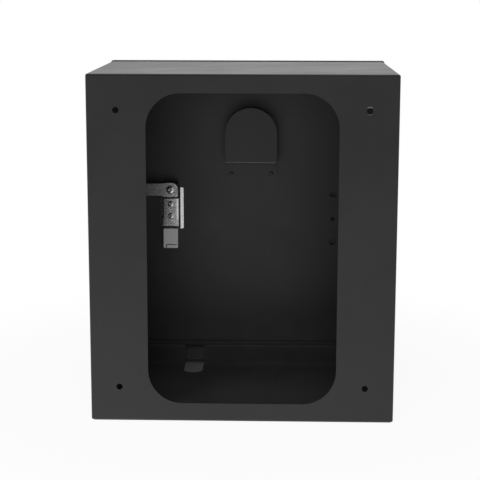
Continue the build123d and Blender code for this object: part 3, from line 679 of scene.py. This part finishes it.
# Cylinder cover: the moulded block with a small latch outlined by a groove in its lower edge
coverSettings = {
    "face": 275.5 * mm,
    "grooveDepth": 1.3 * mm,
    "grooveWidth": 1.15 * mm,
    "paintedShadeFrom": 0.3 * mm,   # painted shade: the groove gets black plastic from this far below the face
    "trimFrom": -110.0 * mm,
    "trim": 0.9 * mm,
    "latchLeft": -121.6 * mm,
    "latchRight": -105.4 * mm,
    "latchTop": -44.7 * mm,
    "latchBottom": -48.9 * mm,
    "edge": 0.12 * mm,
    "sharp": 50,
    "near": 0.05 * mm,
}


def addBlock(name, low, high):
    work = bmesh.new()
    corners = [work.verts.new((x, y, z)) for x in (low[0], high[0]) for y in (low[1], high[1])
               for z in (low[2], high[2])]
    for loop in ((0, 1, 3, 2), (4, 6, 7, 5), (0, 4, 5, 1), (2, 3, 7, 6), (0, 2, 6, 4), (1, 5, 7, 3)):
        work.faces.new([corners[place] for place in loop])
    bmesh.ops.recalc_face_normals(work, faces=work.faces)
    return addObject(name, toMesh(work, name))


def makeCover(settings):
    wide, face, deep, near = pick(settings, "grooveWidth", "face", "grooveDepth", "near")
    left, right, top, bottom = pick(settings, "latchLeft", "latchRight", "latchTop", "latchBottom")
    tools = [addBlock("grooveAcross", (left, face - deep, top), (right, face + deep, top + wide)),
             addBlock("grooveUp", (left, face - deep, bottom), (left + wide, face + deep, top + wide / 2))]
    blank = mergedCopy("cylinder_cover")
    for vert in blank.verts:
        if vert.co.x > settings["trimFrom"]:
            vert.co.x -= settings["trim"]
    cuts = [("BOOLEAN", {"operation": "DIFFERENCE", "solver": "EXACT", "object": tool}) for tool in tools]
    mesh = bake(toMesh(blank, "cylinderCover"), *cuts, angleBevel(settings["edge"], 1, settings["sharp"]))
    for tool in tools:
        bpy.data.objects.remove(tool)
    mesh = smoothFaces(mesh)
    mesh.materials.clear()
    mesh.materials.append(finishes["grey_plastic"])
    mesh.materials.append(finishes["black_plastic"])
    # painted shade: the groove's faces take the black plastic, for the shade in the narrow gap
    for patch in mesh.polygons:
        x, y, z = patch.center
        inGap = face + settings["paintedShadeFrom"] < y < face + deep + near
        across = left - wide < x < right + 2 * near and abs(z - top - wide / 2) < wide / 2 + near
        upright = abs(x - left - wide / 2) < wide / 2 + near and bottom - 2 * near < z < top + wide
        if inGap and (across or upright):
            patch.material_index = 1
    addPiece("cylinderCoverMoulding", mesh, None, "grey_plastic", "door", "cylinder_cover")


makeCover(coverSettings)
print("cylinder cover")


# Turned blanks for screws and rivets: sections run from the top of the head, on the axis, to the far end
def turnedBlank(name, section, segments, recess=None):
    work = bmesh.new()
    rings = []
    for radius, height in section:
        if radius == 0:
            sunk = recess["depth"] + recess["pitDepth"] if recess and not rings else 0.0
            rings.append([work.verts.new((0, 0, height - sunk))])
            continue
        if recess and height > 0 and radius < recess["reach"]:
            places = [crossRecess(radius, step, segments, recess) for step in range(segments)]
        else:
            places = [(2 * math.pi * step / segments, 0.0) for step in range(segments)]
        rings.append([work.verts.new((radius * math.cos(turn), radius * math.sin(turn), height - sunk))
                      for turn, sunk in places])
    for upper, lower in zip(rings, rings[1:]):
        for step in range(segments):
            here, after = step, (step + 1) % segments
            loop = [upper[here % len(upper)], lower[here % len(lower)],
                    lower[after % len(lower)], upper[after % len(upper)]]
            work.faces.new(list(dict.fromkeys(loop)))
    bmesh.ops.recalc_face_normals(work, faces=work.faces)
    return toMesh(work, name)


# Geometry Nodes: a tree with a geometry input, named inputs for its sizes and one output
def newTree(name, *sockets):
    tree = bpy.data.node_groups.new(name, "GeometryNodeTree")
    for label, kind in (("Geometry", "Geometry"), *sockets):
        tree.interface.new_socket(label, in_out="INPUT", socket_type="NodeSocket" + kind)
    tree.interface.new_socket("Geometry", in_out="OUTPUT", socket_type="NodeSocketGeometry")
    return tree, addNode(tree, "NodeGroupInput", -1400, 0).outputs


# Geometry Nodes: sets a blank out in two counted steps, turned and spun, with a second finish on its far end
def setOutTree(name):
    tree, given = newTree(name, ("Start", "Vector"), ("First Step", "Vector"), ("First Count", "Int"),
                          ("Second Step", "Vector"), ("Second Count", "Int"), ("Turn", "Vector"),
                          ("Spin", "Float"), ("Seed", "Int"), ("Bare Below", "Float"),
                          ("Finish", "Material"), ("Bare Finish", "Material"))
    finish = addNode(tree, "GeometryNodeSetMaterial", -1000, 300,
                     {"Geometry": given["Geometry"], "Material": given["Finish"]})
    place = addNode(tree, "GeometryNodeInputPosition", -1200, 600)
    height = splitAxes(tree, place.outputs[0], -1000, 600)["Z"]
    isFar = addNode(tree, "FunctionNodeCompare", -800, 600, {"A": height, "B": given["Bare Below"]},
                    data_type="FLOAT", operation="LESS_THAN")
    bare = addNode(tree, "GeometryNodeSetMaterial", -600, 300,
                   {"Geometry": finish.outputs[0], "Selection": isFar.outputs[0],
                    "Material": given["Bare Finish"]})

    first = addNode(tree, "GeometryNodeMeshLine", -1000, -100,
                    {"Count": given["First Count"], "Start Location": given["Start"],
                     "Offset": given["First Step"]}, mode="OFFSET")
    second = addNode(tree, "GeometryNodeMeshLine", -1000, -400,
                     {"Count": given["Second Count"], "Offset": given["Second Step"]}, mode="OFFSET")
    lines = addNode(tree, "GeometryNodeInstanceOnPoints", -700, -200,
                    {"Points": first.outputs[0], "Instance": second.outputs[0]})
    points = addNode(tree, "GeometryNodeRealizeInstances", -500, -200, {0: lines.outputs[0]})

    spin = addNode(tree, "FunctionNodeRandomValue", -700, -600, {"Max": given["Spin"], "Seed": given["Seed"]},
                   data_type="FLOAT")
    turn = [output for output in spin.outputs if output.enabled][0]
    ownTurn = addNode(tree, "ShaderNodeCombineXYZ", -500, -600, {"Z": turn})
    own = addNode(tree, "FunctionNodeEulerToRotation", -300, -600, {0: ownTurn.outputs[0]})
    whole = addNode(tree, "FunctionNodeEulerToRotation", -300, -800, {0: given["Turn"]})
    turned = addNode(tree, "FunctionNodeRotateRotation", -100, -700,
                     {"Rotation": own.outputs[0], "Rotate By": whole.outputs[0]})

    copies = addNode(tree, "GeometryNodeInstanceOnPoints", 200, 0,
                     {"Points": points.outputs[0], "Instance": bare.outputs[0],
                      "Rotation": turned.outputs[0]})
    real = addNode(tree, "GeometryNodeRealizeInstances", 500, 0, {0: copies.outputs[0]})
    addNode(tree, "NodeGroupOutput", 800, 0, {0: real.outputs[0]})
    return tree


def runTree(tree, mesh, values):
    work = addObject("treePiece", mesh)
    modifier = work.modifiers.new("tree", "NODES")
    modifier.node_group = tree
    for item in tree.interface.items_tree:
        if item.item_type == "SOCKET" and item.in_out == "INPUT" and item.name in values:
            modifier[item.identifier] = values[item.name]
    return resultOf(work)


setOutPieces = setOutTree("setOutPieces")


# A row says where the middle of its pieces is, how they are turned, and two steps with their counts. A
# piece has the bare finish below the height bareBelow of its blank.
def setOut(blank, row, finish, bareFinish, bareBelow=-1.0, spin=0.0, seed=0):
    (firstStep, firstCount), (secondStep, secondCount) = row["steps"]
    start = Vector(row["centre"])
    for step, count in row["steps"]:
        start -= Vector(step) * (count - 1) / 2
    return runTree(setOutPieces, blank, {
        "Start": tuple(start), "First Step": firstStep, "First Count": firstCount,
        "Second Step": secondStep, "Second Count": secondCount,
        "Turn": [math.radians(angle) for angle in row["turn"]], "Spin": math.radians(spin),
        "Seed": seed, "Bare Below": bareBelow, "Finish": finish, "Bare Finish": bareFinish})


# A cross recess in a blank's rings: the points beside each arm move onto its edges, those inside go down
def crossRecess(radius, step, segments, recess):
    quarter = segments // 4
    offset = step % quarter - quarter // 2
    middle = 2 * math.pi * (step - offset) / segments
    half, share = recess["width"] / 2, abs(offset)
    edge = math.asin(min(recess["widest"], half / radius))
    outer = max(edge + recess["gap"], math.asin(min(recess["widestWall"], (half + recess["wall"]) / radius)))
    inArm = share <= recess["steps"]
    beyond = recess["steps"] + 1
    if inArm:
        turn = edge * share / recess["steps"]
    else:
        turn = outer + (math.pi / 4 - outer) * (share - beyond) / (quarter / 2 - beyond)
    deep = recess["depth"] * (1 - radius / recess["reach"]) if inArm else 0.0
    if inArm and radius < recess["pit"]:
        deep += recess["pitDepth"] * (1 - radius / recess["pit"])
    return middle + math.copysign(turn, offset), deep


still = (0.0, 0.0, 0.0)   # the step of a row that has no second piece that way
screwSettings = {
    "segments": 48,
    "seed": 4,
    "spin": 70,   # degrees at most, so the recesses don't all stand alike
    "cam": {"centre": (-114.0 * mm, 272.5 * mm, 39.5 * mm), "turn": (90.0, 0.0, 0.0),
            "steps": ((still, 1), (still, 1)),
            "head": 5.3 * mm, "rise": 3.4 * mm, "shank": 2.35 * mm, "length": 13.5 * mm},
    "clamp": {"centre": (-114.0 * mm, 277.0 * mm, 8.5 * mm), "turn": (90.0, 0.0, 0.0),
              "steps": (((0.0, 0.0, 18.0 * mm), 2), (still, 1)),
              "head": 4.2 * mm, "rise": 2.6 * mm, "shank": 1.95 * mm, "length": 9.4 * mm},
    # shares of the head's radius and of its rise, from the axis outwards
    "profile": ((0.0, 0.985), (0.10, 0.985), (0.19, 0.985), (0.28, 0.99), (0.38, 0.995), (0.48, 1.0),
                (0.54, 0.99), (0.56, 0.985), (0.66, 0.950), (0.76, 0.912), (0.86, 0.873), (0.93, 0.835),
                (0.97, 0.74), (1.0, 0.56), (1.0, 0.10), (0.985, 0.0)),
    # shares of the head's radius
    "recess": {"reach": 0.56, "width": 0.26, "wall": 0.02, "depth": 0.18, "pit": 0.29, "pitDepth": 0.24},
    # steps from an arm's middle to its edge, and how far the arms may close up near the axis
    "arms": {"steps": 2, "gap": 0.01, "widest": 0.68, "widestWall": 0.70},
    "sharp": 16,
}


def makeScrews(settings):
    zinc = finishes["zinc_plate"]
    for kind, name, body, node in (("cam", "camScrewTurned", "spindle", "cam_screw"),
                                   ("clamp", "clampScrewsTurned", "door", "clamp_screws")):
        row = settings[kind]
        shank, end = row["shank"], -row["length"]
        section = [(row["head"] * across, row["rise"] * up) for across, up in settings["profile"]]
        section += [(shank, 0.0), (shank, end + shank / 2), (shank / 2, end), (0.0, end)]
        recess = {key: row["head"] * share for key, share in settings["recess"].items()}
        blank = turnedBlank(kind + "ScrewBlank", section, settings["segments"], recess | settings["arms"])
        made = setOut(blank, row, zinc, zinc, spin=settings["spin"], seed=settings["seed"])
        addPiece(name, smoothFaces(made, settings["sharp"]), None, "zinc_plate", body, node)


makeScrews(screwSettings)
print("screws")

# Blind rivets: powder-coated heads and tails, with the mandrels' ends bare inside
rivetSettings = {
    "segments": 28,
    "head": 4.0 * mm,
    "rise": 1.2 * mm,
    "shank": 2.0 * mm,
    "grip": 3.5 * mm,
    "tail": 2.8 * mm,
    "tailLength": 2.0 * mm,
    "mandrel": 0.85 * mm,
    "bareShare": 0.85,   # of the tail's length, past which the mandrel shows
    # a radius, a share of it, and a share of the rise or of the tail's length
    "top": (("mandrel", 0.0, 0.45), ("mandrel", 0.8, 0.45), ("mandrel", 1.0, 0.9), ("mandrel", 1.3, 1.0),
            ("head", 0.55, 0.93), ("head", 0.75, 0.74), ("head", 0.9, 0.48), ("head", 0.98, 0.22),
            ("head", 1.0, 0.0), ("shank", 1.0, 0.0)),
    "end": (("shank", 1.0, 0.0), ("tail", 0.85, 0.0), ("tail", 1.0, 0.22), ("tail", 0.97, 0.5),
            ("tail", 0.78, 0.75), ("mandrel", 1.25, 0.86), ("mandrel", 1.0, 0.86), ("mandrel", 0.9, 0.97),
            ("mandrel", 0.0, 1.0)),
    "hook": {"centre": (6.0 * mm, 300.0 * mm, 61.5 * mm), "turn": (-90.0, 0.0, 0.0),
             "steps": (((58.8 * mm, 0.0, 0.0), 2), (still, 1))},
    "box": {"centre": (202.0 * mm, 268.0 * mm, 0.0), "turn": (0.0, 90.0, 0.0),
            "steps": (((0.0, 0.0, 298.0 * mm), 2), ((0.0, 0.0, 30.0 * mm), 2))},
    "door": {"centre": (203.0 * mm, 293.125 * mm, 0.0), "turn": (0.0, 90.0, 0.0),
             "steps": (((0.0, 0.0, 298.0 * mm), 2), ((0.0, 0.0, 30.0 * mm), 2))},
}


def makeRivets(settings):
    rise, grip, long = settings["rise"], settings["grip"], settings["tailLength"]
    section = [(settings[which] * across, rise * up) for which, across, up in settings["top"]]
    section += [(settings[which] * across, -grip - long * down) for which, across, down in settings["end"]]
    for kind, name, body, node in (("hook", "hookRivetsSet", "door", "hook_rivets"),
                                   ("box", "boxLeafRivetsSet", "cabinet", "box_leaf_rivets"),
                                   ("door", "doorLeafRivetsSet", "door", "door_leaf_rivets")):
        blank = turnedBlank(kind + "RivetBlank", section, settings["segments"])
        made = setOut(blank, settings[kind], finishes["powder_coat"], mandrelFinish,
                      -grip - long * settings["bareShare"])
        addPiece(name, smoothFaces(made), None, "powder_coat", body, node)


makeRivets(rivetSettings)
print("rivets")

# Door seal: a D-shaped foam section swept round a rounded rectangle by Geometry Nodes
sealSettings = {
    "width": 346.5 * mm,
    "height": 404.5 * mm,
    "corner": 9.0 * mm,
    "cornerSteps": 8,
    "halfWidth": 5.0 * mm,
    "thickness": 6.2 * mm,
    "straight": 0.35,   # share of the thickness below the round
    "roundSteps": 12,
    "doorFace": 298.5 * mm,
}


def sealTree(name):
    tree, given = newTree(name, ("Width", "Float"), ("Height", "Float"), ("Corner", "Float"),
                          ("Corner Steps", "Int"), ("Door Face", "Vector"), ("Finish", "Material"))
    path = addNode(tree, "GeometryNodeCurvePrimitiveQuadrilateral", -900, 200,
                   {"Width": given["Width"], "Height": given["Height"]}, mode="RECTANGLE")
    rounded = addNode(tree, "GeometryNodeFilletCurve", -700, 200,
                      {"Curve": path.outputs[0], "Radius": given["Corner"], "Count": given["Corner Steps"]},
                      mode="POLY")
    section = addNode(tree, "GeometryNodeMeshToCurve", -700, -100, {"Mesh": given["Geometry"]})
    swept = addNode(tree, "GeometryNodeCurveToMesh", -400, 100,
                    {"Curve": rounded.outputs[0], "Profile Curve": section.outputs[0]})
    place = addNode(tree, "GeometryNodeTransform", -200, 100,
                    {"Geometry": swept.outputs[0], "Translation": given["Door Face"],
                     "Rotation": (math.radians(90), 0.0, 0.0)})
    outward = addNode(tree, "GeometryNodeFlipFaces", 0, 100, {0: place.outputs[0]})
    real = addNode(tree, "GeometryNodeRealizeInstances", 200, 100, {0: outward.outputs[0]})
    finish = addNode(tree, "GeometryNodeSetMaterial", 400, 100,
                     {"Geometry": real.outputs[0], "Material": given["Finish"]})
    addNode(tree, "NodeGroupOutput", 600, 0, {0: finish.outputs[0]})
    return tree


def makeSeal(settings):
    half, thick, straight, steps = pick(settings, "halfWidth", "thickness", "straight", "roundSteps")
    outline = [(half, 0.0)]
    for turn in [math.pi * step / steps for step in range(steps + 1)]:
        outline.append((half * math.cos(turn), -thick * (straight + (1 - straight) * math.sin(turn))))
    outline.append((-half, 0.0))
    section = bmesh.new()
    corners = [section.verts.new((across, up, 0.0)) for across, up in outline]
    for first, second in zip(corners, corners[1:] + corners[:1]):
        section.edges.new((first, second))
    made = runTree(sealTree("sweptSeal"), toMesh(section, "sealSection"), {
        "Width": settings["width"], "Height": settings["height"], "Corner": settings["corner"],
        "Corner Steps": settings["cornerSteps"], "Door Face": (0.0, settings["doorFace"], 0.0),
        "Finish": finishes["foam_seal"]})
    addPiece("doorSealSwept", smoothFaces(made), None, "foam_seal", "door", "door_gasket")


makeSeal(sealSettings)
print("door seal")

# Studio: a pale floor that keeps the object's shadow, a white world and two soft lamps
studioSettings = {
    "floorSize": 40.0,
    "floorDrop": 0.2 * mm,
    "floorColour": (0.86, 0.86, 0.86),
    # painted shadow: the floor's colour under the cabinet
    "paintedShadowColour": (0.153, 0.153, 0.153),
    "underHalf": {"X": 0.197, "Y": 0.146},
    "underMiddle": (0.0, 0.150, 0.0),
    "floorGlow": (0.25, 0.75, 0.93, 1.0),   # near and far radius, then how white the camera sees it there
    "floorGloss": (0.6, 2.2, 1.0, 0.46),    # the same for what the coat mirrors
    "rightGloss": (-0.3, 0.4, 1.0, 0.75),   # from left to right, a share of that
    "worldDiffuse": 0.20,
    "otherLevel": 1.0,
    "frontLevel": 0.03,                     # the dark room behind the camera
    "frontFrom": (0.1, -0.6),
    "aboveFrom": (-0.05, 0.25),
    "leftGloss": (0.0, -0.35, 1.0, 0.77),
    "lampAim": (0.0, 0.15, 0.0),
    "highLamp": {"power": 33.0, "size": 1.4, "place": (-0.15, -1.35, 2.1)},
    "frontLamp": {"power": 12.0, "size": 0.9, "place": (-0.12, -2.3, 0.40)},
}


def seenDirectly(tree, x, y):
    rays = addNode(tree, "ShaderNodeLightPath", x - 200, y).outputs
    other = addMath(tree, "MAXIMUM", x, y - 150, rays["Is Glossy Ray"], rays["Is Transmission Ray"])
    return addMath(tree, "MAXIMUM", x + 200, y, rays["Is Camera Ray"], other), rays["Is Camera Ray"]


def makeFloor(settings):
    grid = bmesh.new()
    bmesh.ops.create_grid(grid, x_segments=1, y_segments=1, size=settings["floorSize"] / 2)
    bmesh.ops.translate(grid, verts=grid.verts, vec=(0, 0, cadBox[0].z - settings["floorDrop"]))
    mesh = toMesh(grid, "studioFloor")
    floor = addObject("studioFloor", mesh)

    material, tree, shader, where = newFinish("paleFloor", **{"Roughness": 0.9, "Specular IOR Level": 0.0})
    shift = tuple(-along for along in settings["underMiddle"])
    middle = addNode(tree, "ShaderNodeMapping", -1300, 0,
                     {"Vector": where, "Location": shift, "Scale": (1.0, 1.0, 0.0)})
    axes = splitAxes(tree, middle.outputs[0], -1100, -200)
    inside = []
    for y, (axis, half) in zip((-100, -300), settings["underHalf"].items()):
        off = addMath(tree, "ABSOLUTE", -900, y, axes[axis])
        inside.append(addMath(tree, "LESS_THAN", -700, y, off, half))
    # painted shadow: under the cabinet the floor takes the dark colour and loses its glow
    under = addMath(tree, "MULTIPLY", -500, -200, *inside)
    colour = addMix(tree, -200, -50, under, settings["floorColour"], settings["paintedShadowColour"])
    tree.links.new(colour, shader.inputs["Base Color"])
    away = addNode(tree, "ShaderNodeVectorMath", -1100, 200, {0: middle.outputs[0]}, operation="LENGTH")
    away = away.outputs["Value"]
    share = addRange(tree, away, -900, 200, *settings["floorGlow"], True)
    share = addMath(tree, "MULTIPLY", -500, 100, share, addMath(tree, "SUBTRACT", -300, -200, 1.0, under))
    gloss = addRange(tree, away, -900, 500, *settings["floorGloss"], True)
    side = addRange(tree, axes["X"], -900, 900, *settings["rightGloss"], True)
    gloss = addMath(tree, "MULTIPLY", -500, 600, gloss, side)
    direct, onlyCamera = seenDirectly(tree, -300, 400)
    strength = addMath(tree, "MAXIMUM", 0, 700, onlyCamera, gloss)
    glow = addNode(tree, "ShaderNodeEmission", 200, 300, {"Color": (1, 1, 1, 1), "Strength": strength})
    share = addMath(tree, "MULTIPLY", 100, 450, direct, share)
    both = addNode(tree, "ShaderNodeMixShader", 400, 200,
                   {0: share, 1: shader.outputs[0], 2: glow.outputs[0]})
    tree.links.new(both.outputs[0], tree.nodes["Material Output"].inputs["Surface"])
    mesh.materials.append(material)


def makeWorld(settings):
    world = bpy.data.worlds.new("whiteWorld")
    world.use_nodes = True
    scene.world = world
    tree = world.node_tree
    soft = tree.nodes["Background"]
    soft.inputs["Color"].default_value = (1, 1, 1, 1)
    soft.inputs["Strength"].default_value = settings["worldDiffuse"]
    direction = addNode(tree, "ShaderNodeTexCoord", -1200, -300)
    axes = splitAxes(tree, direction.outputs["Generated"], -1000, -300)
    front = addRange(tree, axes["Y"], -800, -200, *settings["frontFrom"], 0.0, 1.0, True)
    above = addRange(tree, axes["Z"], -800, -450, *settings["aboveFrom"], 0.0, 1.0, True)
    shade = addMath(tree, "MULTIPLY", -600, -300, front, above)
    level = addRange(tree, shade, -400, -300, 0.0, 1.0, settings["otherLevel"], settings["frontLevel"])
    left = addRange(tree, axes["X"], -800, -700, *settings["leftGloss"], True)
    level = addMath(tree, "MULTIPLY", -300, -450, level, left)
    direct, onlyCamera = seenDirectly(tree, -400, 200)
    level = addMath(tree, "MAXIMUM", -200, -300, level, onlyCamera)
    white = addNode(tree, "ShaderNodeBackground", 0, -200, {"Color": (1, 1, 1, 1), "Strength": level})
    both = addNode(tree, "ShaderNodeMixShader", 200, 0,
                   {0: direct, 1: soft.outputs[0], 2: white.outputs[0]})
    tree.links.new(both.outputs[0], tree.nodes["World Output"].inputs["Surface"])


def makeLamp(name, settings, aim):
    light = bpy.data.lights.new(name, "AREA")
    light.energy = settings["power"]
    light.size = settings["size"]
    lamp = addObject(name, light)
    lamp.visible_glossy = False
    place = Vector(settings["place"])
    turn = (Vector(aim) - place).to_track_quat("-Z", "Y").to_matrix().to_4x4()
    lamp.matrix_world = Matrix.Translation(place) @ turn


makeFloor(studioSettings)
makeWorld(studioSettings)
for lampName in ("highLamp", "frontLamp"):
    makeLamp(lampName, studioSettings[lampName], studioSettings["lampAim"])
print("studio: floor, world and lamps")
